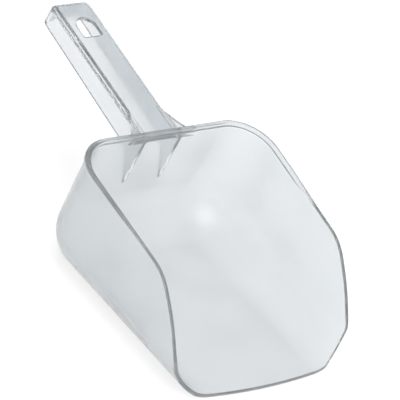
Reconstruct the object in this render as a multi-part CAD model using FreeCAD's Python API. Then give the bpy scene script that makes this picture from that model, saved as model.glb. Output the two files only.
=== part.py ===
"""Feed scoop, moulded in clear plastic: an open bowl with a channel handle.

Millimetres. +Z is up and the scoop stands on its floor. The origin is on the underside of
the floor, +Y runs along the handle and the mouth of the bowl faces -Y.
The scoop is one moulding. Each of its features is a solid of its own here, and each solid
meets its neighbours face to face.
"""
import FreeCAD, Part
import math
import os

V = FreeCAD.Vector

# ---- bowl ----
rim_width = 150.0            # outside, at the back of the rim
rim_height = 82.5            # outside top of the rim at the back, above the rest face
back_y = 90.0                # outside of the back wall at the rim
wall = 2.6                   # side and back walls
floor_thickness = 2.6
side_draft_deg = 1.2         # the sides lean in towards the floor
side_taper_deg = 0.95        # the sides close in a little towards the mouth
back_lean_deg = 6.6          # the top of the back leans towards the mouth
floor_corner_radius = 28.5   # outside, between the floor and the side and back walls
back_corner_radius = 28.8    # outside, between the back wall and the sides

# ---- mouth ----
rim_slope_deg = 9.2          # the rim falls towards the mouth
rim_break_y = -13.0          # where the straight rim ends
rim_break_radius = 34.0      # blend at the end of the straight rim
mouth_cut_deg = 39.5         # fall of the side edge just below the break
mouth_cut_radius = 156.0     # the side edge steepens along this arc
lip_y = -59.0                # where the lip meets its cut corners
lip_bow = 3.8                # the lip stands this much further out at its middle
lip_corner_x = 53.5          # half the width of the lip between its cut corners
corner_start_y = -49.0       # where the corner cut leaves the side edge

# ---- rim bead ----
bead_out = 1.4
bead_height = 3.2
bead_end_gap = 40.0          # the bead stops this far behind the break in the rim

# ---- handle ----
handle_width = 31.6
handle_length = 118.0        # from the back wall, along the handle
handle_slope_deg = 9.5       # the handle rises away from the bowl
handle_drop = 4.0            # its top is this far below the rim where it meets the back
handle_wall = 2.6
side_depth_root = 18.2       # depth of the channel sides at the bowl
side_depth_end = 14.8        # and at the far end
handle_edge_radius = 4.0     # along the top edges, outside
handle_end_radius = 6.2      # upright corners of the far end, outside

# ---- hang hole ----
hang_hole_width = 15.0
hang_hole_length = 16.0
hang_hole_margin = 15.5      # from the far end to the hole
hang_hole_corner = 1.5       # the two corners on the bowl side

# ---- root of the handle ----
gusset_reach = 13.0          # along the underside of each channel side
gusset_drop = 17.0           # down the back wall
gusset_thickness = 2.6
flare_reach = 26.0           # along the handle
flare_width = 12.5           # along the back wall
flare_thickness = 3.2

# ---- working values ----
SPAN = 400.0
side_lean = math.tan(math.radians(side_draft_deg))
side_taper = math.tan(math.radians(side_taper_deg))
back_lean = math.tan(math.radians(back_lean_deg))
rim_fall = math.tan(math.radians(rim_slope_deg))
rim_break_z = rim_height - (back_y - rim_break_y) * rim_fall


def prism(points, along):
    """A solid: the closed outline through the points, pushed along a vector."""
    return Part.Face(Part.makePolygon(points + [points[0]])).extrude(along)


def edges_where(shape, test):
    return [edge for edge in shape.Edges if test(edge)]


def edge_direction(edge):
    step = edge.Vertexes[-1].Point - edge.Vertexes[0].Point
    return step.normalize() if step.Length > 1e-6 else V(0, 0, 0)


def half_width(y, z):
    """Outside half width of the bowl, clear of its corner radii."""
    return rim_width / 2 - (rim_height - z) * side_lean - (back_y - y) * side_taper


def bowl_form(grow, low, corner_grow):
    """The bowl as a solid block, grown outwards, from height low, open at its front end."""
    top = rim_height + 40.0
    front = lip_y - 60.0

    def outline(z):
        back = back_y + (rim_height - z) * back_lean + grow
        ahead = half_width(front, z) + grow
        behind = half_width(back, z) + grow
        return Part.makePolygon([
            V(-ahead, front, z), V(ahead, front, z), V(behind, back, z), V(-behind, back, z),
            V(-ahead, front, z),
        ])

    block = Part.makeLoft([outline(low), outline(top)], True, True)
    upright = edges_where(
        block,
        lambda e: abs(edge_direction(e).z) > 0.9 and e.CenterOfMass.y > 0,
    )
    block = block.makeFillet(back_corner_radius + corner_grow, upright)
    under = edges_where(
        block,
        lambda e: abs(e.BoundBox.ZMax - low) < 1e-4
        and (e.CenterOfMass.y > front + 1.0),
    )
    return block.makeFillet(floor_corner_radius + corner_grow, under)


def mouth_profile(lower):
    """What the side view keeps: below the rim and behind the mouth, lowered by a distance."""
    steep = math.radians(mouth_cut_deg)
    start = V(0, rim_break_y, rim_break_z - lower)
    centre = start + V(0, math.sin(steep), -math.cos(steep)) * mouth_cut_radius

    def on_arc(turn):
        angle = steep + turn
        return centre + V(0, -math.sin(angle), math.cos(angle)) * mouth_cut_radius

    past_corner = corner_start_y - 2.0
    turn = math.asin(math.sin(steep) + (rim_break_y - past_corner) / mouth_cut_radius) - steep
    finish = on_arc(turn)
    behind = back_y + 60.0
    rim_end = V(0, behind, rim_height - lower + (behind - back_y) * rim_fall)
    ahead = V(0, lip_y - 40.0, finish.z)
    low = -20.0
    wire = Part.Wire([
        Part.LineSegment(rim_end, start).toShape(),
        Part.Arc(start, on_arc(turn / 2), finish).toShape(),
        Part.LineSegment(finish, ahead).toShape(),
        Part.LineSegment(ahead, V(0, ahead.y, low)).toShape(),
        Part.LineSegment(V(0, ahead.y, low), V(0, behind, low)).toShape(),
        Part.LineSegment(V(0, behind, low), rim_end).toShape(),
    ])
    solid = Part.Face(wire).extrude(V(SPAN, 0, 0))
    solid.translate(V(-SPAN / 2, 0, 0))
    at_break = edges_where(
        solid,
        lambda e: abs(e.CenterOfMass.y - start.y) < 1e-3
        and abs(e.CenterOfMass.z - start.z) < 1e-3,
    )
    return solid.makeFillet(rim_break_radius, at_break)


def lip_plan():
    """What the view from above keeps: behind the bowed lip and its two cut corners."""
    corner_x = half_width(corner_start_y, floor_corner_radius)
    fall = (corner_start_y - lip_y) / (corner_x - lip_corner_x)
    wide = SPAN / 2
    wide_y = lip_y + (wide - lip_corner_x) * fall
    far = back_y + 60.0
    right = V(lip_corner_x, lip_y, -5)
    left = V(-lip_corner_x, lip_y, -5)
    wire = Part.Wire([
        Part.Arc(left, V(0, lip_y - lip_bow, -5), right).toShape(),
        Part.LineSegment(right, V(wide, wide_y, -5)).toShape(),
        Part.LineSegment(V(wide, wide_y, -5), V(wide, far, -5)).toShape(),
        Part.LineSegment(V(wide, far, -5), V(-wide, far, -5)).toShape(),
        Part.LineSegment(V(-wide, far, -5), V(-wide, wide_y, -5)).toShape(),
        Part.LineSegment(V(-wide, wide_y, -5), left).toShape(),
    ])
    return Part.Face(wire).extrude(V(0, 0, SPAN / 2))


def box(x0, x1, y0, y1, z0, z1):
    return Part.makeBox(x1 - x0, y1 - y0, z1 - z0, V(x0, y0, z0))


def placed(shape):
    """Turns a shape from the handle's own axes (Y along it, Z up) into place on the bowl."""
    shape = shape.copy()
    shape.rotate(V(0, 0, 0), V(1, 0, 0), handle_slope_deg)
    shape.translate(V(0, back_y, rim_height - handle_drop))
    return shape


def side_depth(u):
    """Depth of the channel sides at a distance u from the back wall."""
    return side_depth_root + (side_depth_end - side_depth_root) * u / handle_length


def handle_block(inset):
    """The handle as a solid block, drawn in by inset on every face but the open underside."""
    half = handle_width / 2 - inset
    end = handle_length - inset
    below = 5.0 if inset > 0 else 0.0
    start = -30.0
    side = [
        V(-half, start, -inset),
        V(-half, end, -inset),
        V(-half, end, -side_depth(end) - below),
        V(-half, start, -side_depth(start) - below),
    ]
    block = prism(side, V(2 * half, 0, 0))
    upright = edges_where(
        block,
        lambda e: abs(edge_direction(e).z) > 0.9 and e.CenterOfMass.y > end - 1.0,
    )
    block = block.makeFillet(handle_end_radius - inset, upright)
    upper = edges_where(
        block,
        lambda e: e.BoundBox.ZMin > -inset - 1e-4 and e.CenterOfMass.y > start + 1.0,
    )
    return block.makeFillet(handle_edge_radius - inset, upper)


def hang_hole():
    """A D-shaped slot: straight towards the bowl, round towards the end of the handle."""
    far = handle_length - hang_hole_margin
    near = far - hang_hole_length
    half = hang_hole_width / 2
    shoulder = far - half
    wire = Part.Wire([
        Part.LineSegment(V(-half, near, -10), V(half, near, -10)).toShape(),
        Part.LineSegment(V(half, near, -10), V(half, shoulder, -10)).toShape(),
        Part.Arc(V(half, shoulder, -10), V(0, far, -10), V(-half, shoulder, -10)).toShape(),
        Part.LineSegment(V(-half, shoulder, -10), V(-half, near, -10)).toShape(),
    ])
    solid = Part.Face(wire).extrude(V(0, 0, 20))
    corners = edges_where(
        solid,
        lambda e: abs(edge_direction(e).z) > 0.9 and abs(e.CenterOfMass.y - near) < 1e-3,
    )
    return solid.makeFillet(hang_hole_corner, corners)


def gusset(side):
    """A web under one channel side, running down the back wall."""
    outer = side * handle_width / 2
    inner = outer - side * gusset_thickness
    x = min(outer, inner)
    reach = V(x, gusset_reach, -side_depth(gusset_reach))
    foot = V(x, 0, -side_depth(0) - gusset_drop)
    inside = V(x, -25, -side_depth(-25))
    inside_low = V(x, -25, foot.z - 1.0)
    middle = (reach + foot) * 0.5 + V(0, -1.6, 1.6)
    wire = Part.Wire([
        Part.Arc(reach, middle, foot).toShape(),
        Part.LineSegment(foot, inside_low).toShape(),
        Part.LineSegment(inside_low, inside).toShape(),
        Part.LineSegment(inside, reach).toShape(),
    ])
    return Part.Face(wire).extrude(V(gusset_thickness, 0, 0))


def flare(side):
    """A web, level with the top of the handle, that widens it into the back wall."""
    edge = side * handle_width / 2
    x = edge - side * handle_edge_radius
    tip = V(x, flare_reach, 0)
    foot = V(edge + side * flare_width, 0, 0)
    deep = V(foot.x, -20, 0)
    curve = Part.BezierCurve()
    curve.setPoles([tip, V(edge + side * flare_width * 0.16, flare_reach * 0.14, 0), foot])
    wire = Part.Wire([
        curve.toShape(),
        Part.LineSegment(foot, deep).toShape(),
        Part.LineSegment(deep, V(x, -20, 0)).toShape(),
        Part.LineSegment(V(x, -20, 0), tip).toShape(),
    ])
    return Part.Face(wire).extrude(V(0, 0, -flare_thickness)).cut(handle_block(0.0))


# ---- bowl: one shell, shared out between its floor, sides and back ----
outside = bowl_form(0.0, 0.0, 0.0)
inside = bowl_form(-wall, floor_thickness, -wall)
shell = outside.cut(inside).common(mouth_profile(0.0)).common(lip_plan())

floor_half = half_width(lip_y, 0) - floor_corner_radius
back_start = min(back_y - back_corner_radius,
                 back_y + rim_height * back_lean - floor_corner_radius)
low, high = -10.0, rim_height + 60.0
front, far = lip_y - 20.0, back_y + 60.0
nodes = {
    "bowl_floor": shell.common(box(-floor_half, floor_half, front, back_start, low, high)),
    "bowl_side_left": shell.common(box(-SPAN / 2, -floor_half, front, back_start, low, high)),
    "bowl_side_right": shell.common(box(floor_half, SPAN / 2, front, back_start, low, high)),
    "bowl_back": shell.common(box(-SPAN / 2, SPAN / 2, back_start, far, low, high)),
}

# ---- bead round the back and sides of the rim ----
skin = bowl_form(bead_out, -bead_out, bead_out).cut(outside)
band = mouth_profile(0.0).cut(mouth_profile(bead_height))
behind_break = box(-SPAN / 2, SPAN / 2, rim_break_y + bead_end_gap, far, low, high)
bead = skin.common(band).common(behind_break)
nodes["rim_bead"] = bead

# ---- handle: an upturned channel with a closed end ----
channel = handle_block(0.0).cut(handle_block(handle_wall)).cut(hang_hole())
bend_low = -handle_edge_radius
side_end = handle_length - handle_end_radius
start = -40.0
top_slab = box(-SPAN / 2, SPAN / 2, start, SPAN, bend_low, 10)
end_slab = box(-SPAN / 2, SPAN / 2, side_end, SPAN, -60, bend_low)
left_slab = box(-SPAN / 2, 0, start, side_end, -60, bend_low)
right_slab = box(0, SPAN / 2, start, side_end, -60, bend_low)
clear_of_bowl = [outside, bead]


def seated(shape):
    """Puts a handle feature in place and trims it back to the bowl and the bead."""
    shape = placed(shape)
    for other in clear_of_bowl:
        shape = shape.cut(other)
    return shape


nodes["handle_top"] = seated(channel.common(top_slab))
nodes["handle_side_left"] = seated(channel.common(left_slab))
nodes["handle_side_right"] = seated(channel.common(right_slab))
nodes["handle_end"] = seated(channel.common(end_slab))
nodes["gusset_left"] = seated(gusset(-1))
nodes["gusset_right"] = seated(gusset(1))
nodes["root_flare_left"] = seated(flare(-1))
nodes["root_flare_right"] = seated(flare(1))

os.makedirs("parts", exist_ok=True)
for name, shape in nodes.items():
    solids = shape.Solids
    if len(solids) != 1:
        raise ValueError(f"{name} has {len(solids)} solids")
    solid = solids[0]
    if not solid.isValid():
        raise ValueError(f"{name} is not a valid solid")
    solid.exportStep(f"parts/{name}.step")
    print(f"{name:18s} {solid.Volume / 1000:8.2f} cm3")

hold = inside.common(mouth_profile(0.0)).common(lip_plan())
print(f"struck capacity about {hold.Volume / 1e6:.2f} litres")
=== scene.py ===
import math
from functools import partial

import bmesh
import bpy
from mathutils import Matrix, Vector


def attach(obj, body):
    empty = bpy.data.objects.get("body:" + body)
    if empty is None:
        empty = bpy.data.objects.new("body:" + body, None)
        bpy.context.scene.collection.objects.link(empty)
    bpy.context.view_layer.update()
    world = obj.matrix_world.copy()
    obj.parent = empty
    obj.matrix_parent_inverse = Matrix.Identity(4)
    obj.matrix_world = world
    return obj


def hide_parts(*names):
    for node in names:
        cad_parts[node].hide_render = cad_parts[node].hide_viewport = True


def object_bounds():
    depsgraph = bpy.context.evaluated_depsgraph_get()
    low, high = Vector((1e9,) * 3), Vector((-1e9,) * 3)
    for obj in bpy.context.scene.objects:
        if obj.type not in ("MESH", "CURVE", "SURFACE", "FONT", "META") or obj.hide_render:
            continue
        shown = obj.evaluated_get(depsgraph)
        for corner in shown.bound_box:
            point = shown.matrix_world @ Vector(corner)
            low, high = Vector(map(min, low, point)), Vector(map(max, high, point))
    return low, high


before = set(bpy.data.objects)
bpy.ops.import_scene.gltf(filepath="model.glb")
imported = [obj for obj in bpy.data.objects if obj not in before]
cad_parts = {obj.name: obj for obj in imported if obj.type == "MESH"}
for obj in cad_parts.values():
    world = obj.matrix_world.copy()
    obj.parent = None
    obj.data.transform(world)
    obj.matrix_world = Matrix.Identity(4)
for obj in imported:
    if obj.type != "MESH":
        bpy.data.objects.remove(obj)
CAD_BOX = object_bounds()

bl_info = {
    "name": "Feed Scoop",
    "version": (1, 0, 0),
    "blender": (4, 5, 0),
    "location": "3D Viewport > Sidebar > Feed Scoop",
    "description": "Builds a clear moulded feed scoop with a channel handle",
    "category": "Add Mesh",
}

MM = 0.001
BODY = "root"
BOWL_NODES = ("bowl_floor", "bowl_side_left", "bowl_side_right", "bowl_back", "rim_bead")
HANDLE_NODES = (
    "handle_top", "handle_side_left", "handle_side_right", "handle_end",
    "gusset_left", "gusset_right", "root_flare_left", "root_flare_right",
)
HAZED, POLISHED = 0, 1  # the moulding's two material slots
SHARP_ANGLE = math.radians(38)  # edges that turn further than this stay crisp

# how finely the shapes are divided
EDGE_STEPS = 4  # round half of a wall's bare edge
CURVE_STEPS = 40  # along a curve that is worked out and then resampled
BLEND_STEPS = 12  # round the end of the straight rim
CUT_STEPS, MOUTH_STEPS, RIM_STEPS = 14, 26, 34  # along the edge of one side of the bowl
LIP_STEPS = 40  # across the lip, the floor and the back wall
CORNER_STEPS = 24  # round a back corner
WALL_STEPS = 40  # down a wall, below the close rows at its edge
EDGE_ROWS = [d * MM for d in (0.0, 1.7, 2.5, 3.0, 3.5, 4.2, 5.2)]  # close rows under the bead
ROOT_STEPS, CHANNEL_STEPS = 16, 34  # along a gusset, and along the rest of the handle
END_CORNER_STEPS, END_STEPS = 12, 5  # round an end corner, and along half of the end
SIDE_SHARES = (0.0, 0.13, 0.3, 0.5, 0.75, 1.0)  # rows up a channel side, from its lower edge
BEND_STEPS = 14  # round the bend between a channel side and the top
HOLE_ROUND_STEPS, HOLE_CORNER_STEPS = 26, 5  # round the two kinds of curve of the hang hole
HOLE_SIDE_STEPS, HOLE_FRONT_STEPS = 4, 8  # along its straight sides
FLARE_STEPS = 22  # along the hollow edge of a root flare
SOLVE_ROUNDS, CUT_ROUNDS = 12, 4  # rounds of the two searches for a point on the rim

# small shapes that no setting gives
WELD = 0.002 * MM  # points closer than this are one point
ACROSS_WEIGHT = 0.3  # how much the way across counts when the feet are spaced out
FIRST_WAY = Vector((-0.7, 0.7))  # how the lip corner's column meets the floor
LIP_BAND = 24 * MM  # depth of the floor's front part, behind the lip
BEAD_FALL, BEAD_LEAD = 1.0 * MM, 0.3 * MM  # height of the bead's lower slope, and its start
GUSSET_HOLLOW = 1.55  # power that makes a gusset's edge hollow
GUSSET_PAST = 2 * MM  # close stations go on this far past a gusset
TOP_BORDER = 0.5 * MM  # flat border of the top beside each bend
HOLE_COLLAR = 1.3 * MM  # ring of faces round the hang hole
FLARE_INSIDE = 0.85  # share of the top edge's radius by which a flare runs in
FLARE_PULL = 0.16, 0.14  # how near the root its hollow edge passes, across and along
FLARE_ROUNDING, FLARE_ROUNDING_STEPS = 0.6 * MM, 3
FLARE_BELOW = 0.02 * MM  # keeps a flare's face just under the handle's top

# the skin of the plastic
FLOW_WAVE, FLOW_HEIGHT = 25 * MM, 0.2 * MM  # spacing and height of its slow waves
WORN_PATCH = 30 * MM  # size of its dulled patches
LEAST_WORN, MOST_WORN = 0.85, 1.2  # their roughness, as a share of the usual one

# the stage
AIM = Vector((-0.03608, 0.01184, 0.09475))  # the point that the camera looks at
SENSOR_WIDTH = 36.0
CLIP_NEAR, CLIP_FAR = 0.05, 50.0
FLOOR_REACH = 6.0  # from the middle of the studio floor to its edge
FLOOR_GAP = 0.3 * MM  # keeps the floor clear of the scoop's underside
# each soft box: name, place and width in metres, power in watts
SOFT_BOXES = (
    ("key_box", (-0.9, -1.5, 1.9), 2.4, 62.0),
    ("top_box", (-0.2, 0.3, 2.4), 1.9, 52.0),
)
LAMP_AIM = Vector((0, 0.05, 0))
KEY_WAY = (-0.35, -0.58, 0.735)  # towards the key box
PAPER_GLOW = 0.8  # share of plain white in the paper
# the painted pool of light on the paper, as the plastic shows it
PAINTED_POOL_MIDDLE = (0.05, 0.10, 0.0)
PAINTED_POOL_NEAR, PAINTED_POOL_FAR = 0.24, 0.4  # it falls off between these distances
PAINTED_POOL_LOW = 0.06  # what is left beyond it


# ---------------------------------------------------------------- settings

def length(name, description, millimetres):
    return bpy.props.FloatProperty(
        name=name, description=description, default=millimetres * MM,
        min=0.0, unit="LENGTH", precision=4,
    )


def place(name, description, millimetres):
    return bpy.props.FloatProperty(
        name=name, description=description, default=millimetres * MM,
        unit="LENGTH", precision=4,
    )


def angle(name, description, degrees):
    return bpy.props.FloatProperty(
        name=name, description=description, default=math.radians(degrees), subtype="ANGLE",
    )


def linear(hex_colour):
    """A linear colour from a six-figure sRGB hex value."""
    channels = [int(hex_colour[i:i + 2], 16) / 255 for i in (0, 2, 4)]
    return [c / 12.92 if c <= 0.04045 else ((c + 0.055) / 1.055) ** 2.4 for c in channels]


def colour(name, description, hex_colour):
    return bpy.props.FloatVectorProperty(
        name=name, description=description, default=linear(hex_colour),
        size=3, min=0.0, max=1.0, subtype="COLOR",
    )


class BowlSettings(bpy.types.PropertyGroup):
    rim_width: length("Rim width", "Outside width at the back of the rim", 150.0)
    rim_height: length("Rim height", "Top of the rim at the back, above the rest face", 82.5)
    back_y: place("Back of the rim", "Outside of the back wall at the rim", 90.0)
    wall: length("Wall", "Thickness of the floor and the walls", 2.6)
    side_draft: angle("Side draft", "Lean of the side walls", 1.2)
    side_taper: angle("Side taper", "How the side walls close in towards the mouth", 0.95)
    back_lean: angle("Back lean", "Lean of the top of the back towards the mouth", 6.6)
    floor_radius: length("Floor corner", "Outside radius between floor and walls", 28.5)
    rim_corner: length("Rim corner", "Outside radius of the back corners at the rim", 26.5)
    rim_slope: angle("Rim slope", "Fall of the rim towards the mouth", 9.2)
    break_y: place("Rim break", "Where the straight rim ends", -13.0)
    break_radius: length("Break radius", "Blend at the end of the straight rim", 34.0)
    mouth_fall: angle("Mouth fall", "Fall of the side edge below the break", 39.5)
    mouth_radius: length("Mouth radius", "Arc of the side edge", 156.0)
    corner_y: place("Corner start", "Where the corner cut leaves the side edge", -49.0)
    lip_y: place("Lip", "Where the lip meets its cut corners", -59.0)
    lip_bow: length("Lip bow", "How far the middle of the lip stands out", 3.77)
    lip_corner_x: length("Lip corner", "Half the width of the lip", 53.5)
    edge_radius: length("Edge radius", "Rounding of the rim, the mouth and the lip", 0.95)
    bead_out: length("Bead", "How far the bead stands out from the wall", 1.35)
    bead_height: length("Bead height", "Height of the bead below the rim", 3.2)
    bead_end_y: place("Bead end", "Where the bead starts to fade on the sides", 4.0)
    bead_fade: length("Bead fade", "Length over which the bead fades", 44.0)


class HandleSettings(bpy.types.PropertyGroup):
    width: length("Width", "Outside width of the channel", 31.6)
    reach: length("Length", "From the back wall, along the handle", 118.0)
    slope: angle("Slope", "Rise of the handle away from the bowl", 9.5)
    drop: length("Drop", "Top of the handle below the rim", 4.09)
    wall: length("Wall", "Thickness of the channel", 2.6)
    depth_root: length("Depth at the bowl", "Depth of the channel sides at the bowl", 18.2)
    depth_end: length("Depth at the end", "Depth of the channel sides at the far end", 14.8)
    top_radius: length("Top edges", "Outside radius along the top edges", 5.0)
    bend_radius: length("Bend inside", "Inside radius along the top edges", 0.8)
    end_radius: length("End corners", "Outside radius of the upright end corners", 6.2)
    edge_radius: length("Edge radius", "Rounding of the lower edges and the hang hole", 0.4)
    sink: length("Sink", "How far the root runs into the back wall", 1.3)
    hole_width: length("Hole width", "Width of the hang hole", 15.0)
    hole_length: length("Hole length", "Length of the hang hole along the handle", 16.0)
    hole_margin: length("Hole margin", "From the far end to the hang hole", 15.5)
    hole_corner: length("Hole corner", "Radius of the two square corners", 1.5)
    gusset_reach: length("Gusset reach", "Along the underside of a channel side", 13.0)
    gusset_drop: length("Gusset drop", "Down the back wall", 17.0)
    flare_reach: length("Flare reach", "Along the handle", 26.0)
    flare_width: length("Flare width", "Along the back wall", 12.5)
    flare_thickness: length("Flare thickness", "Thickness of a root flare", 3.2)


class PlasticSettings(bpy.types.PropertyGroup):
    bowl_tint: colour("Bowl tint", "Colour of the bowl", "EEF2F4")
    # the handle's tint is darker than the bowl's though both are one plastic: a faint cool tint
    # plus painted shade for the channel's darker look
    handle_tint: colour("Handle tint", "Colour of the handle", "E5E9EC")
    bowl_haze: bpy.props.FloatProperty(
        name="Bowl haze", description="Milky share of the bowl's surface",
        default=0.14, min=0.0, max=1.0, subtype="FACTOR",
    )
    bowl_roughness: bpy.props.FloatProperty(
        name="Bowl roughness", description="Gloss of the bowl",
        default=0.22, min=0.0, max=1.0, subtype="FACTOR",
    )
    handle_haze: bpy.props.FloatProperty(
        name="Handle haze", description="Milky share of the handle's surface",
        default=0.06, min=0.0, max=1.0, subtype="FACTOR",
    )
    handle_roughness: bpy.props.FloatProperty(
        name="Handle roughness", description="Gloss of the handle",
        default=0.19, min=0.0, max=1.0, subtype="FACTOR",
    )
    ior: bpy.props.FloatProperty(
        name="IOR", description="Index of refraction of polycarbonate", default=1.585, min=1.0,
    )


class StageSettings(bpy.types.PropertyGroup):
    azimuth: angle("Azimuth", "Where the camera stands round the scoop", 49.86)
    elevation: angle("Elevation", "Height of the camera above the floor", 32.43)
    roll: angle("Roll", "Turn of the camera about its own line of sight", 22.84)
    distance: length("Distance", "From the camera to the point it looks at", 2188.5)
    lens: bpy.props.FloatProperty(
        name="Lens", description="Focal length in millimetres", default=328.6, min=1.0,
    )
    paper: colour("Paper", "Colour of the studio floor", "F4F4F4")


# ---------------------------------------------------------------- helpers

def spread(start, end, steps):
    """Evenly spaced values, from the start to the end with both of them."""
    return [start + (end - start) * i / steps for i in range(steps + 1)]


def smooth_step(value):
    """0 below 0, 1 above 1, and a smooth rise between."""
    value = min(max(value, 0.0), 1.0)
    return value * value * (3 - 2 * value)


def new_piece(name, mesh):
    """An object in the scene that shows a mesh, at the origin."""
    piece = bpy.data.objects.new(name, mesh)
    bpy.context.scene.collection.objects.link(piece)
    return piece


def even_points(points, steps):
    """A run of points, resampled to equal steps along it."""
    marks = [0.0]
    for a, b in zip(points, points[1:]):
        marks.append(marks[-1] + (b - a).length)
    result, index = [], 0
    for target in spread(0.0, marks[-1], steps):
        while index < len(points) - 2 and marks[index + 1] < target:
            index += 1
        span = marks[index + 1] - marks[index]
        share = (target - marks[index]) / span if span else 0.0
        result.append(points[index].lerp(points[index + 1], min(max(share, 0.0), 1.0)))
    return result


def rounded_edge(outer, inner, out, radius):
    """Points round a wall's bare edge, from its outer face to its inner one."""
    across = (outer - inner).normalized()
    points = []
    for sign, corner in ((1, outer), (-1, inner)):
        bend = [
            corner - out * radius - across * sign * radius
            + (across * sign * math.cos(turn) + out * math.sin(turn)) * radius
            for turn in spread(0.0, math.pi / 2, EDGE_STEPS)
        ]
        points += bend if sign > 0 else bend[::-1]
    return points


def thicken(surface, wall, edge_radius, bulge):
    """Turns an open outer surface into a closed wall with rounded, polished edges.

    bulge gives how far a vertex of the outer face stands out from the plain wall.
    """
    bmesh.ops.recalc_face_normals(surface, faces=surface.faces)
    surface.normal_update()
    surface.verts.index_update()
    verts = list(surface.verts)
    normal = [v.normal.copy() for v in verts]
    outer = [v.co.copy() for v in verts]
    inner = [p - n * wall for p, n in zip(outer, normal)]
    outer = [p + n * bulge(v) for p, n, v in zip(outer, normal, verts)]
    result = bmesh.new()
    chain = {}
    for v in verts:
        edges = [e for e in v.link_edges if e.is_boundary]
        if not edges:
            continue
        ends = [e.other_vert(v) for e in edges]
        along = ends[0].co - ends[-1].co
        out = along.cross(normal[v.index]).normalized()
        centre = sum((f.calc_center_median() for f in v.link_faces), Vector()) / len(v.link_faces)
        if out.dot(centre - v.co) > 0:
            out = -out
        points = rounded_edge(outer[v.index], inner[v.index], out, edge_radius)
        outer[v.index], inner[v.index] = points[0], points[-1]
        chain[v.index] = points[1:-1]
    outside = [result.verts.new(p) for p in outer]
    within = [result.verts.new(p) for p in inner]
    chain = {
        i: [outside[i]] + [result.verts.new(p) for p in points] + [within[i]]
        for i, points in chain.items()
    }
    for face in surface.faces:
        loop = [v.index for v in face.verts]
        result.faces.new([outside[i] for i in loop])
        result.faces.new([within[i] for i in reversed(loop)])
    for edge in surface.edges:
        if edge.is_boundary:
            a, b = chain[edge.verts[0].index], chain[edge.verts[1].index]
            for k in range(len(a) - 1):
                face = result.faces.new([a[k], b[k], b[k + 1], a[k + 1]])
                face.material_index = POLISHED
    bmesh.ops.recalc_face_normals(result, faces=result.faces)
    return result


def finished_mesh(name, source):
    """A mesh from a work mesh, which is freed."""
    mesh = bpy.data.meshes.new(name)
    source.to_mesh(mesh)
    source.free()
    return mesh


# ---------------------------------------------------------------- bowl

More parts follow.
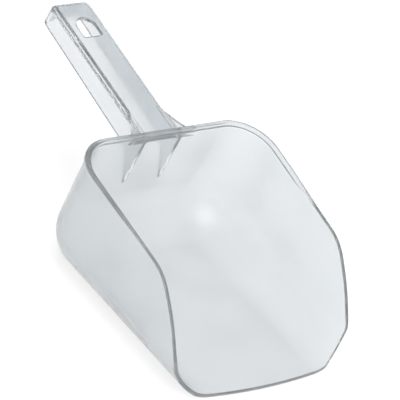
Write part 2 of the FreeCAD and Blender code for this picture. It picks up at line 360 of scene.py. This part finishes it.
class BowlForm:
    """The outside of the bowl, addressed by a place along it and a distance up from its floor."""

    def __init__(self, sizes):
        self.sizes = sizes
        self.floor_edge_side = sizes.floor_radius * math.tan((math.pi / 2 - sizes.side_draft) / 2)
        self.floor_edge_back = sizes.floor_radius * math.tan((math.pi / 2 + sizes.back_lean) / 2)
        self.back_foot = sizes.back_y + sizes.rim_height * math.tan(sizes.back_lean)
        self.pole_y = self.back_foot - self.floor_edge_back

    def half_width(self, y, z):
        s = self.sizes
        return (s.rim_width / 2 - (s.rim_height - z) * math.tan(s.side_draft)
                - (s.back_y - y) * math.tan(s.side_taper))

    def floor_edge(self, y):
        return self.half_width(y, 0.0) - self.floor_edge_side

    def climb(self, up, lean):
        """Height at a distance up a wall, round its floor corner."""
        radius = self.sizes.floor_radius
        bend = radius * (math.pi / 2 - lean)
        if up < bend:
            return radius + radius * math.sin(up / radius - math.pi / 2)
        return radius * (1 - math.sin(lean)) + (up - bend) * math.cos(lean)

    def climb_to(self, z, lean):
        """Distance up a wall at a height."""
        radius = self.sizes.floor_radius
        bend_top = radius * (1 - math.sin(lean))
        if z < bend_top:
            return radius * (math.asin(max(z / radius - 1, -1)) + math.pi / 2)
        return radius * (math.pi / 2 - lean) + (z - bend_top) / math.cos(lean)

    def offset(self, z, lean, floor_edge):
        """How far out a wall stands from its foot line at a height."""
        radius = self.sizes.floor_radius
        if z < radius * (1 - math.sin(lean)):
            return math.sqrt(max(radius ** 2 - (radius - z) ** 2, 0.0)) - floor_edge
        return z * math.tan(lean)

    def front(self, across, y):
        """A point of the unrolled front part: across runs out over the floor and up the side."""
        edge = self.floor_edge(y)
        up = abs(across) - edge
        if up <= 0:
            return Vector((across, y, 0.0))
        lean = self.sizes.side_draft
        z = self.climb(up, lean)
        radius = self.sizes.floor_radius
        if up < radius * (math.pi / 2 - lean):
            x = edge + radius * math.cos(up / radius - math.pi / 2)
        else:
            x = self.half_width(y, z)
        return Vector((math.copysign(x, across), y, z))

    def centre(self, z):
        """Centre of the back corner's outline at a height."""
        s = self.sizes
        low = Vector((self.floor_edge(self.pole_y), self.pole_y))
        high_y = s.back_y - s.rim_corner
        high = Vector((self.half_width(high_y, s.rim_height) - s.rim_corner, high_y))
        share = max(z - s.floor_radius, 0.0) / (s.rim_height - s.floor_radius)
        return low + (high - low) * share

    def corner(self, turn, up):
        """A point of the back corner: turn runs from the side, 0, to the back, a quarter turn."""
        s = self.sizes
        side, back = math.cos(turn) ** 2, math.sin(turn) ** 2
        z = self.climb(up, s.side_draft) * side + self.climb(up, -s.back_lean) * back
        middle = self.centre(z)
        reach_x = (self.half_width(middle.y, 0.0)
                   + self.offset(z, s.side_draft, self.floor_edge_side) - middle.x)
        reach_y = (self.back_foot
                   + self.offset(z, -s.back_lean, self.floor_edge_back) - middle.y)
        return Vector((
            middle.x + reach_x * math.cos(turn), middle.y + reach_y * math.sin(turn), z))

    def back(self, share, up):
        """A point of the back wall: share runs from 1 at the right corner to -1 at the left."""
        point = self.corner(math.pi / 2, up)
        point.x *= share
        return point

    def rim_top(self, place_at):
        """Distance up a wall to the straight rim, for a wall given as a function of up."""
        s = self.sizes
        up = s.rim_height
        for _ in range(SOLVE_ROUNDS):
            point = place_at(up)
            up -= point.z - s.rim_height - (point.y - s.back_y) * math.tan(s.rim_slope)
        return up

    def side_edge(self):
        """The rim of one side, unrolled: the cut corner, the mouth and the straight rim."""
        s = self.sizes
        break_z = s.rim_height - (s.back_y - s.break_y) * math.tan(s.rim_slope)
        start = Vector((s.break_y, break_z))
        hub = start + Vector((math.sin(s.mouth_fall), -math.cos(s.mouth_fall))) * s.mouth_radius

        def on_arc(turn):
            whole = s.mouth_fall + turn
            return hub + Vector((-math.sin(whole), math.cos(whole))) * s.mouth_radius

        turn_end = math.asin(
            math.sin(s.mouth_fall) + (s.break_y - s.corner_y) / s.mouth_radius
        ) - s.mouth_fall
        blend = s.break_radius * math.tan((s.mouth_fall - s.rim_slope) / 2)
        rim_way = Vector((math.cos(s.rim_slope), math.sin(s.rim_slope)))
        blend_turn = blend / s.mouth_radius
        ends = on_arc(blend_turn), start + rim_way * blend
        mouth = [on_arc(t) for t in spread(turn_end, blend_turn, CURVE_STEPS)]
        mouth += [
            ends[0] * (1 - t) ** 2 + start * 2 * t * (1 - t) + ends[1] * t ** 2
            for t in spread(0.0, 1.0, BLEND_STEPS)[1:]
        ]

        def unrolled(y, z):
            return Vector((self.floor_edge(y) + self.climb_to(z, s.side_draft), y))

        corner_x = self.half_width(s.corner_y, s.floor_radius)
        slant = (s.corner_y - s.lip_y) / (corner_x - s.lip_corner_x)
        up_high = self.climb_to(mouth[0].y, s.side_draft)
        reach = (s.lip_corner_x - self.floor_edge(s.lip_y)) / s.floor_radius
        up_low = s.floor_radius * math.asin(reach)
        cut = []
        for up in spread(up_low, up_high, CURVE_STEPS):
            y = s.lip_y
            for _ in range(CUT_ROUNDS):
                x = self.front(self.floor_edge(y) + up, y).x
                y = s.lip_y + (x - s.lip_corner_x) * slant
            cut.append(Vector((self.floor_edge(y) + up, y)))
        top = self.rim_top(partial(self.corner, 0.0))
        last = self.corner(0.0, top)
        mouth_line = [unrolled(p.x, p.y) for p in mouth]
        rim_line = [mouth_line[-1], Vector((self.floor_edge(last.y) + top, last.y))]
        cut[-1] = mouth_line[0]
        return cut, mouth_line, rim_line


def curved_way(start, start_way, end, end_way, share):
    """A point on a smooth curve between two points with given directions."""
    span = (end - start).length
    a, b = start_way * span, end_way * span
    t = share
    return (start * (2 * t ** 3 - 3 * t ** 2 + 1) + a * (t ** 3 - 2 * t ** 2 + t)
            + end * (3 * t ** 2 - 2 * t ** 3) + b * (t ** 3 - t ** 2))


def row_shares(reach):
    """Places of a column's rows as shares of its length: close at the edge, then even."""
    last = EDGE_ROWS[-1] / reach
    return [d / reach for d in EDGE_ROWS] + spread(last, 1.0, WALL_STEPS)[1:]


def wall_column(form, place_at):
    """A column of points from the straight rim down to the floor."""
    top = form.rim_top(place_at)
    return [place_at(top * (1 - t)) for t in row_shares(top)]


def floor_column(form, start, start_way, end, end_way):
    """A column of points from the mouth or the lip to the floor, both given unrolled."""
    flat = [
        curved_way(start, start_way, end, end_way, t)
        for t in row_shares((end - start).length)
    ]
    return [form.front(p.x, p.y) for p in flat]


def side_columns(form, inner_y):
    """The columns of one side, from the lip's corner to the back corner."""
    cut, mouth, rim = form.side_edge()
    line = even_points(cut, CUT_STEPS)
    line += even_points(mouth, MOUTH_STEPS)[1:] + even_points(rim, RIM_STEPS)[1:]
    ways = []
    for i in range(len(line)):
        before, after = line[max(i - 1, 0)], line[min(i + 1, len(line) - 1)]
        step = (after - before).normalized()
        ways.append(Vector((-step.y, step.x)))
    ways[0] = (ways[0] + Vector((0, 1))).normalized()
    weight = [0.0]
    for a, b in zip(line, line[1:]):
        weight.append(weight[-1] + abs(b.y - a.y) + ACROSS_WEIGHT * abs(b.x - a.x))
    columns = []
    for i, point in enumerate(line[:-1]):
        y = inner_y + (form.pole_y - inner_y) * (weight[i] / weight[-1])
        end = Vector((form.floor_edge(y), y))
        end_way = Vector((-1, 0)) if i else FIRST_WAY
        columns.append(floor_column(form, point, ways[i], end, end_way))
    columns.append(wall_column(form, partial(form.corner, 0.0)))
    return columns, line[0].x


def lip_columns(form, inner_y, start_across):
    """The columns of the lip, from its left corner to its right one, without those two."""
    sizes = form.sizes
    ahead = Vector((0, 1))
    columns = []
    for m in spread(-1.0, 1.0, LIP_STEPS)[1:-1]:
        across = m * start_across
        x = form.front(across, sizes.lip_y).x
        y = sizes.lip_y - sizes.lip_bow * (1 - (x / sizes.lip_corner_x) ** 2)
        end = Vector((m * form.floor_edge(inner_y), inner_y))
        columns.append(floor_column(form, Vector((across, y)), ahead, end, ahead))
    return columns


def mirrored(columns):
    """The columns of the other side, in order round the bowl."""
    return [[Vector((-p.x, p.y, p.z)) for p in column] for column in reversed(columns)]


def add_strips(surface, lines, closed=False):
    """Fills the strips between lines of vertices with four-sided faces."""
    following = lines[1:] + lines[:1] if closed else lines[1:]
    for a, b in zip(lines, following):
        for k in range(len(a) - 1):
            surface.faces.new([a[k], a[k + 1], b[k + 1], b[k]])


def build_bowl(sizes):
    """The bowl as one closed wall, with its bead and its rounded rim."""
    form = BowlForm(sizes)
    inner_y = sizes.lip_y + LIP_BAND
    side, start_across = side_columns(form, inner_y)
    corner = [
        wall_column(form, partial(form.corner, turn))
        for turn in spread(0.0, math.pi / 2, CORNER_STEPS)[1:-1]
    ]
    back = [wall_column(form, partial(form.back, m)) for m in spread(1.0, -1.0, LIP_STEPS)]
    lip = lip_columns(form, inner_y, start_across)
    columns = side + corner + back + mirrored(corner) + mirrored(side) + lip
    surface = bmesh.new()
    add_strips(surface, [[surface.verts.new(p) for p in c] for c in columns], closed=True)
    # the floor between the feet of the side columns
    floor_rows = []
    for column in side:
        right = column[-1]
        left = Vector((-right.x, right.y, right.z))
        floor_rows.append(
            [surface.verts.new(right.lerp(left, t)) for t in spread(0.0, 1.0, LIP_STEPS)])
    add_strips(surface, floor_rows)
    bmesh.ops.remove_doubles(surface, verts=surface.verts, dist=WELD)
    bmesh.ops.dissolve_degenerate(surface, edges=surface.edges, dist=WELD / 2)
    rim_fall = math.tan(sizes.rim_slope)

    def bead(v):
        """How far a vertex lies outside the plain wall."""
        below = sizes.rim_height + (v.co.y - sizes.back_y) * rim_fall - v.co.z
        along = smooth_step((v.co.y - sizes.bead_end_y) / sizes.bead_fade)
        down = 1 - smooth_step((below - sizes.bead_height + BEAD_LEAD) / BEAD_FALL)
        return sizes.bead_out * along * down

    return thicken(surface, sizes.wall, sizes.edge_radius, bead)


# ---------------------------------------------------------------- handle

def side_depth(sizes, u):
    """Depth of a channel side, with its gusset where it meets the bowl."""
    depth = sizes.depth_root + (sizes.depth_end - sizes.depth_root) * u / sizes.reach
    if u < sizes.gusset_reach:
        share = 1 - max(u, -sizes.sink) / sizes.gusset_reach
        depth += sizes.gusset_drop * share ** GUSSET_HOLLOW
    return depth


def handle_frame(bowl, sizes):
    """Takes the handle's own axes, Y along it and Z up, to their place on the bowl."""
    return (Matrix.Translation((0, bowl.back_y, bowl.rim_height - sizes.drop))
            @ Matrix.Rotation(sizes.slope, 4, "X"))


def arc(centre, radius, start, end, steps):
    """Points on an arc in the plane, as vectors of two."""
    return [
        centre + Vector((math.cos(turn), math.sin(turn))) * radius
        for turn in spread(start, end, steps)
    ]


def channel_stations(sizes):
    """Places round the channel's outline, each with the way that faces out there."""
    half, end = sizes.width / 2, sizes.reach
    bend = end - sizes.end_radius
    root = spread(-sizes.sink, sizes.gusset_reach + GUSSET_PAST, ROOT_STEPS)
    stations = [
        (Vector((half, u)), Vector((1, 0)))
        for u in root + spread(root[-1], bend, CHANNEL_STEPS)[1:]
    ]
    for turn in spread(0.0, math.pi / 2, END_CORNER_STEPS)[1:]:
        way = Vector((math.cos(turn), math.sin(turn)))
        stations.append((Vector((half - sizes.end_radius, bend)) + way * sizes.end_radius, way))
    for x in spread(half - sizes.end_radius, 0.0, END_STEPS)[1:]:
        stations.append((Vector((x, end)), Vector((0, 1))))
    return stations + [
        (Vector((-p.x, p.y)), Vector((-w.x, w.y))) for p, w in reversed(stations[:-1])
    ]


def hole_outline(sizes, grow):
    """The hang hole's outline, straight towards the bowl and round towards the end."""
    far = sizes.reach - sizes.hole_margin
    near = far - sizes.hole_length
    wide = sizes.hole_width / 2
    corner = sizes.hole_corner
    quarter = math.pi / 2
    outline = arc(Vector((0, far - wide)), wide + grow, 0.0, math.pi, HOLE_ROUND_STEPS)
    down_side = spread(far - wide, near + corner, HOLE_SIDE_STEPS)
    outline += [Vector((-wide - grow, y)) for y in down_side[1:]]
    outline += arc(Vector((corner - wide, near + corner)), corner + grow,
                   quarter * 2, quarter * 3, HOLE_CORNER_STEPS)[1:]
    front = spread(corner - wide, wide - corner, HOLE_FRONT_STEPS)
    outline += [Vector((x, near - grow)) for x in front[1:]]
    outline += arc(Vector((wide - corner, near + corner)), corner + grow,
                   quarter * 3, quarter * 4, HOLE_CORNER_STEPS)[1:]
    up_side = spread(near + corner, far - wide, HOLE_SIDE_STEPS)
    outline += [Vector((wide + grow, y)) for y in up_side[1:-1]]
    return outline


def build_handle(bowl, sizes):
    """The channel with its closed end, hang hole and gussets, as one closed wall."""
    # the bends are nearly sharp inside and well rounded outside, so they are thinner than
    # the wall: they are laid out round one centre, and bend_shave takes the rest off
    radius = sizes.wall + sizes.bend_radius
    surface = bmesh.new()
    grid = []
    for point, way in channel_stations(sizes):
        depth = side_depth(sizes, point.y)
        column = [
            Vector((point.x, point.y, -depth + (depth - radius) * share))
            for share in SIDE_SHARES
        ]
        for turn in spread(0.0, math.pi / 2, BEND_STEPS)[1:]:
            flat = point - way * radius * (1 - math.cos(turn))
            column.append(Vector((flat.x, flat.y, radius * (math.sin(turn) - 1))))
        flat = point - way * (radius + TOP_BORDER)
        column.append(Vector((flat.x, flat.y, 0)))
        grid.append([surface.verts.new(p) for p in column])
    for a, b in zip(grid, grid[1:]):
        for k in range(len(a) - 1):
            surface.faces.new([a[k], b[k], b[k + 1], a[k + 1]])
    hole, collar = (
        [surface.verts.new((p.x, p.y, 0)) for p in hole_outline(sizes, grow)]
        for grow in (0.0, HOLE_COLLAR)
    )
    for i in range(len(hole)):
        j = (i + 1) % len(hole)
        surface.faces.new([hole[i], collar[i], collar[j], hole[j]])
    # the flat top, between its border and the hole's collar
    border = [column[-1] for column in grid]
    edges = [surface.edges.get(pair) for pair in zip(border, border[1:])]
    edges.append(surface.edges.new((border[-1], border[0])))
    edges += [surface.edges.get(pair) for pair in zip(collar, collar[1:] + collar[:1])]
    bmesh.ops.triangle_fill(surface, edges=edges, use_beauty=True, normal=(0, 0, 1))

    def bend_shave(v):
        """How far a vertex lies outside the plain wall, which is less than 0 in a bend."""
        turn = math.asin(min(1.0, max(0.0, 1 + v.co.z / radius)))
        return (radius - sizes.top_radius) * (math.sqrt(2) - 1) * math.sin(2 * turn)

    shell = thicken(surface, sizes.wall, sizes.edge_radius, bend_shave)
    shell.transform(handle_frame(bowl, sizes))
    return shell


def build_flare(bowl, sizes, side):
    """A web, level with the top of the handle, that widens it into the back wall."""
    edge = sizes.width / 2
    inside = edge - sizes.top_radius * FLARE_INSIDE
    tip = Vector((inside, sizes.flare_reach))
    pull = Vector((edge + sizes.flare_width * FLARE_PULL[0], sizes.flare_reach * FLARE_PULL[1]))
    foot = Vector((edge + sizes.flare_width, 0))
    outline = [
        tip * (1 - t) ** 2 + pull * 2 * t * (1 - t) + foot * t ** 2
        for t in spread(0.0, 1.0, FLARE_STEPS)
    ]
    outline += [Vector((foot.x, -sizes.sink)), Vector((inside, -sizes.sink))]
    web = bmesh.new()
    upper = [web.verts.new((p.x, p.y, -FLARE_BELOW)) for p in outline]
    lower = [web.verts.new((p.x, p.y, -sizes.flare_thickness)) for p in outline]
    web.faces.new(upper)
    web.faces.new(lower[::-1])
    for i in range(len(outline)):
        j = (i + 1) % len(outline)
        web.faces.new([upper[i], lower[i], lower[j], upper[j]])
    hollow = [
        web.edges.get((ring[i], ring[i + 1]))
        for ring in (upper, lower) for i in range(FLARE_STEPS)
    ]
    bmesh.ops.bevel(
        web, geom=hollow, offset=FLARE_ROUNDING, segments=FLARE_ROUNDING_STEPS,
        profile=0.5, affect="EDGES")
    if side < 0:
        bmesh.ops.scale(web, vec=(-1, 1, 1), verts=web.verts)
    bmesh.ops.recalc_face_normals(web, faces=web.faces)
    web.transform(handle_frame(bowl, sizes))
    return web


# ---------------------------------------------------------------- materials

def add(tree, kind, settings=None, links=None):
    """Adds a node, sets its properties or inputs, and links inputs from other sockets."""
    node = tree.nodes.new(kind)
    for key, value in (settings or {}).items():
        if isinstance(key, str) and hasattr(node, key):
            setattr(node, key, value)
        else:
            node.inputs[key].default_value = value
    for key, socket in (links or {}).items():
        tree.links.new(socket, node.inputs[key])
    return node


def polycarbonate(name, tint, ior, clear, roughness):
    """Injection-moulded polycarbonate: faintly cool, a little milky, and duller where its skin is
    worn.
    """
    material = bpy.data.materials.new(name)
    material.use_nodes = True
    tree = material.node_tree
    tree.nodes.clear()
    place_in = add(tree, "ShaderNodeTexCoord").outputs["Object"]
    # slow waves, left by the flow of plastic in the mould
    waves = add(tree, "ShaderNodeTexNoise", {"Scale": 1 / FLOW_WAVE, "Detail": 1.0},
                {"Vector": place_in})
    bump = add(tree, "ShaderNodeBump", {"Strength": 0.05, "Distance": FLOW_HEIGHT},
               {"Height": waves.outputs["Fac"]})
    # patches where handling has dulled the skin a little
    worn = add(tree, "ShaderNodeTexNoise", {"Scale": 1 / WORN_PATCH, "Detail": 0.0},
               {"Vector": place_in})
    dulled = add(tree, "ShaderNodeMapRange", {
        "From Min": 0.35, "From Max": 0.65,
        "To Min": roughness * LEAST_WORN, "To Max": roughness * MOST_WORN,
    }, {"Value": worn.outputs["Fac"]})
    plastic = add(tree, "ShaderNodeBsdfPrincipled", {
        "Base Color": (*tint, 1.0),
        "IOR": ior,
        "Transmission Weight": clear,
    }, {"Normal": bump.outputs["Normal"], "Roughness": dulled.outputs["Result"]})
    add(tree, "ShaderNodeOutputMaterial", links={"Surface": plastic.outputs["BSDF"]})
    return material


def studio_paper(tint):
    """Matt white background paper: even, without gloss, and given a plain white glow; in and
    through the plastic that glow is a painted pool of light round the scoop.
    """
    material = bpy.data.materials.new("matt_paper")
    material.use_nodes = True
    tree = material.node_tree
    tree.nodes.clear()
    diffuse = add(tree, "ShaderNodeBsdfDiffuse", {"Color": (*tint, 1.0)})
    white = add(tree, "ShaderNodeEmission", {"Color": (1, 1, 1, 1), "Strength": 1.0})
    # its white shows directly, and in and through the plastic
    path = add(tree, "ShaderNodeLightPath")
    seen = path.outputs["Is Camera Ray"]
    for ray in ("Is Transmission Ray", "Is Glossy Ray"):
        seen = add(tree, "ShaderNodeMath", {"operation": "MAXIMUM"},
                   {0: seen, 1: path.outputs[ray]}).outputs[0]
    # in the plastic it shows a painted pool of light: bright round the scoop, falling off to the
    # sides of the room
    place_in = add(tree, "ShaderNodeTexCoord").outputs["Object"]
    away = add(tree, "ShaderNodeVectorMath", {"operation": "DISTANCE", 1: PAINTED_POOL_MIDDLE},
               {0: place_in})
    # painted pool of light: the glow fades with distance from the scoop
    pool = add(tree, "ShaderNodeMapRange", {
        "From Min": PAINTED_POOL_NEAR, "From Max": PAINTED_POOL_FAR, "To Min": 1.0, "To Max": PAINTED_POOL_LOW,
    }, {"Value": away.outputs["Value"]})
    pool = add(tree, "ShaderNodeMath", {"operation": "MAXIMUM"},
               {0: pool.outputs["Result"], 1: path.outputs["Is Camera Ray"]})
    seen = add(tree, "ShaderNodeMath", {"operation": "MULTIPLY"}, {0: seen, 1: pool.outputs[0]})
    share = add(tree, "ShaderNodeMath", {"operation": "MULTIPLY", 1: PAPER_GLOW},
                {0: seen.outputs[0]})
    mix = add(tree, "ShaderNodeMixShader", links={
        0: share.outputs[0], 1: diffuse.outputs[0], 2: white.outputs[0]})
    add(tree, "ShaderNodeOutputMaterial", links={"Surface": mix.outputs[0]})
    return material


def studio_air(scene):
    """The room: dim low down, pale overhead, and plain white where it shows directly."""
    world = bpy.data.worlds.new("studio")
    scene.world = world
    world.use_nodes = True
    tree = world.node_tree
    tree.nodes.clear()
    way = add(tree, "ShaderNodeTexCoord").outputs["Generated"]
    height = add(tree, "ShaderNodeSeparateXYZ", links={0: way}).outputs["Z"]
    low = add(tree, "ShaderNodeMapRange", {
        "From Min": 0.0, "From Max": 0.25, "To Min": 0.2, "To Max": 0.04,
    }, {"Value": height})
    dome = add(tree, "ShaderNodeMapRange", {
        "interpolation_type": "SMOOTHSTEP",
        "From Min": 0.3, "From Max": 0.85, "To Min": 0.0, "To Max": 0.7,
    }, {"Value": height})
    # a feathered glow where the key light stands, for a soft sheen on the plastic
    facing = add(tree, "ShaderNodeVectorMath", {"operation": "DOT_PRODUCT", 1: KEY_WAY},
                 {0: way})
    glow = add(tree, "ShaderNodeMapRange", {
        "interpolation_type": "SMOOTHSTEP",
        "From Min": 0.78, "From Max": 1.0, "To Min": 0.0, "To Max": 1.6,
    }, {"Value": facing.outputs["Value"]})
    level = low.outputs["Result"]
    for part in (dome, glow):
        level = add(tree, "ShaderNodeMath", {"operation": "ADD"},
                    {0: level, 1: part.outputs["Result"]}).outputs[0]
    path = add(tree, "ShaderNodeLightPath")
    level = add(tree, "ShaderNodeMath", {"operation": "MAXIMUM"},
                {0: level, 1: path.outputs["Is Camera Ray"]}).outputs[0]
    air = add(tree, "ShaderNodeBackground", links={"Strength": level})
    add(tree, "ShaderNodeOutputWorld", links={"Surface": air.outputs[0]})


# ---------------------------------------------------------------- operators

class SCOOP_OT_bowl(bpy.types.Operator):
    """Makes the open bowl with its bead, rounded rim and bowed lip"""

    bl_idname = "scoop.bowl"
    bl_label = "Bowl"

    def execute(self, context):
        shell = build_bowl(context.scene.scoop_bowl)
        piece = new_piece("bowl_work", finished_mesh("bowl_work", shell))
        look = context.scene.scoop_plastic
        piece.data.materials.append(polycarbonate(
            "hazed_polycarbonate", look.bowl_tint, look.ior, 1.0 - look.bowl_haze,
            look.bowl_roughness))
        return {"FINISHED"}


class SCOOP_OT_handle(bpy.types.Operator):
    """Makes the channel handle with its hang hole and gussets"""

    bl_idname = "scoop.handle"
    bl_label = "Handle"

    def execute(self, context):
        scene = context.scene
        shell = build_handle(scene.scoop_bowl, scene.scoop_handle)
        piece = new_piece("handle_work", finished_mesh("handle_work", shell))
        look = scene.scoop_plastic
        # the handle's darker tint carries painted shade
        piece.data.materials.append(polycarbonate(
            "clear_polycarbonate", look.handle_tint, look.ior, 1.0 - look.handle_haze,
            look.handle_roughness))
        return {"FINISHED"}


class SCOOP_OT_flares(bpy.types.Operator):
    """Makes the two webs that widen the root of the handle"""

    bl_idname = "scoop.flares"
    bl_label = "Root Flares"

    def execute(self, context):
        scene = context.scene
        for side, word in ((1, "right"), (-1, "left")):
            web = build_flare(scene.scoop_bowl, scene.scoop_handle, side)
            piece = new_piece(f"flare_{word}_work", finished_mesh(f"flare_{word}_work", web))
            piece.data.materials.append(bpy.data.materials["clear_polycarbonate"])
        return {"FINISHED"}


class SCOOP_OT_moulding(bpy.types.Operator):
    """Joins the features into the one clear moulding that the scoop is"""

    bl_idname = "scoop.moulding"
    bl_label = "Moulding"

    def execute(self, context):
        scene = context.scene
        base = bpy.data.objects["bowl_work"]
        tools = [
            bpy.data.objects[name]
            for name in ("handle_work", "flare_right_work", "flare_left_work")
        ]
        looks = base.data.materials[0], tools[0].data.materials[0]
        base.data.materials.append(looks[POLISHED])
        for tool in tools:
            tool.data.materials.clear()
            for look in looks:
                tool.data.materials.append(look)
            tool.data.polygons.foreach_set(
                "material_index", [POLISHED] * len(tool.data.polygons))
            join = base.modifiers.new(tool.name, "BOOLEAN")
            join.operation = "UNION"
            join.solver = "MANIFOLD"
            join.object = tool
        graph = context.evaluated_depsgraph_get()
        mesh = bpy.data.meshes.new_from_object(base.evaluated_get(graph))
        mesh.name = "scoop_moulding"
        for work in [base] + tools:
            bpy.data.objects.remove(work)
        mesh.polygons.foreach_set("use_smooth", [True] * len(mesh.polygons))
        mesh.set_sharp_from_angle(angle=SHARP_ANGLE)
        piece = new_piece("scoop_moulding", mesh)
        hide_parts(*BOWL_NODES, *HANDLE_NODES)
        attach(piece, BODY)
        return {"FINISHED"}


class SCOOP_OT_stage(bpy.types.Operator):
    """Makes the camera, the pale floor and the soft studio light"""

    bl_idname = "scoop.stage"
    bl_label = "Stage"

    def execute(self, context):
        scene = context.scene
        stage = scene.scoop_stage
        # camera
        a, e, r = stage.azimuth, stage.elevation, stage.roll
        forward = Vector((math.sin(a) * math.cos(e), math.cos(a) * math.cos(e), -math.sin(e)))
        level = forward.cross(Vector((0, 0, 1))).normalized()
        above = level.cross(forward)
        right = level * math.cos(r) + above * math.sin(r)
        up = right.cross(forward)
        data = bpy.data.cameras.new("camera")
        data.lens = stage.lens
        data.sensor_width = SENSOR_WIDTH
        data.clip_start, data.clip_end = CLIP_NEAR, CLIP_FAR
        camera = bpy.data.objects.new("camera", data)
        turn = Matrix((right, up, -forward)).transposed().to_4x4()
        camera.matrix_world = Matrix.Translation(AIM - forward * stage.distance) @ turn
        scene.collection.objects.link(camera)
        scene.camera = camera
        # floor
        floor_z = CAD_BOX[0].z - FLOOR_GAP
        plane = bmesh.new()
        bmesh.ops.create_grid(plane, x_segments=1, y_segments=1, size=FLOOR_REACH)
        bmesh.ops.translate(plane, vec=(0, 0, floor_z), verts=plane.verts)
        floor = new_piece("studio_floor", finished_mesh("studio_floor", plane))
        floor.data.materials.append(studio_paper(stage.paper))
        # soft boxes, which light the plastic but don't show in it as hard squares
        for name, spot, width, power in SOFT_BOXES:
            lamp = bpy.data.lights.new(name, "AREA")
            lamp.shape = "SQUARE"
            lamp.size = width
            lamp.energy = power
            holder = bpy.data.objects.new(name, lamp)
            holder.visible_glossy = False
            holder.visible_transmission = False
            holder.location = spot
            holder.rotation_euler = (
                (LAMP_AIM - Vector(spot)).to_track_quat("-Z", "Y").to_euler())
            scene.collection.objects.link(holder)
        studio_air(scene)
        scene.view_settings.view_transform = "Standard"
        # light has many clear walls to pass
        cycles = scene.cycles
        cycles.max_bounces = 24
        cycles.transmission_bounces = 20
        cycles.glossy_bounces = 8
        cycles.diffuse_bounces = 3
        cycles.transparent_max_bounces = 16
        return {"FINISHED"}


class SCOOP_PT_panel(bpy.types.Panel):
    """Lists the steps that make the scoop, and their settings"""

    bl_idname = "SCOOP_PT_panel"
    bl_label = "Feed Scoop"
    bl_space_type = "VIEW_3D"
    bl_region_type = "UI"
    bl_category = "Feed Scoop"

    def draw(self, context):
        for step in OPERATORS:
            self.layout.operator(step.bl_idname)
        for group in SETTINGS:
            column = self.layout.column()
            settings = getattr(context.scene, group)
            for key in settings.__annotations__:
                column.prop(settings, key)


SETTINGS = {
    "scoop_bowl": BowlSettings,
    "scoop_handle": HandleSettings,
    "scoop_plastic": PlasticSettings,
    "scoop_stage": StageSettings,
}
OPERATORS = (SCOOP_OT_bowl, SCOOP_OT_handle, SCOOP_OT_flares, SCOOP_OT_moulding, SCOOP_OT_stage)


def register():
    for name, group in SETTINGS.items():
        bpy.utils.register_class(group)
        setattr(bpy.types.Scene, name, bpy.props.PointerProperty(type=group))
    for kind in (*OPERATORS, SCOOP_PT_panel):
        bpy.utils.register_class(kind)


def unregister():
    for kind in (SCOOP_PT_panel, *reversed(OPERATORS)):
        bpy.utils.unregister_class(kind)
    for name, group in SETTINGS.items():
        delattr(bpy.types.Scene, name)
        bpy.utils.unregister_class(group)


def main():
    register()
    bpy.ops.scoop.bowl()
    bpy.ops.scoop.handle()
    bpy.ops.scoop.flares()
    bpy.ops.scoop.moulding()
    bpy.ops.scoop.stage()


if __name__ == "__main__":
    main()
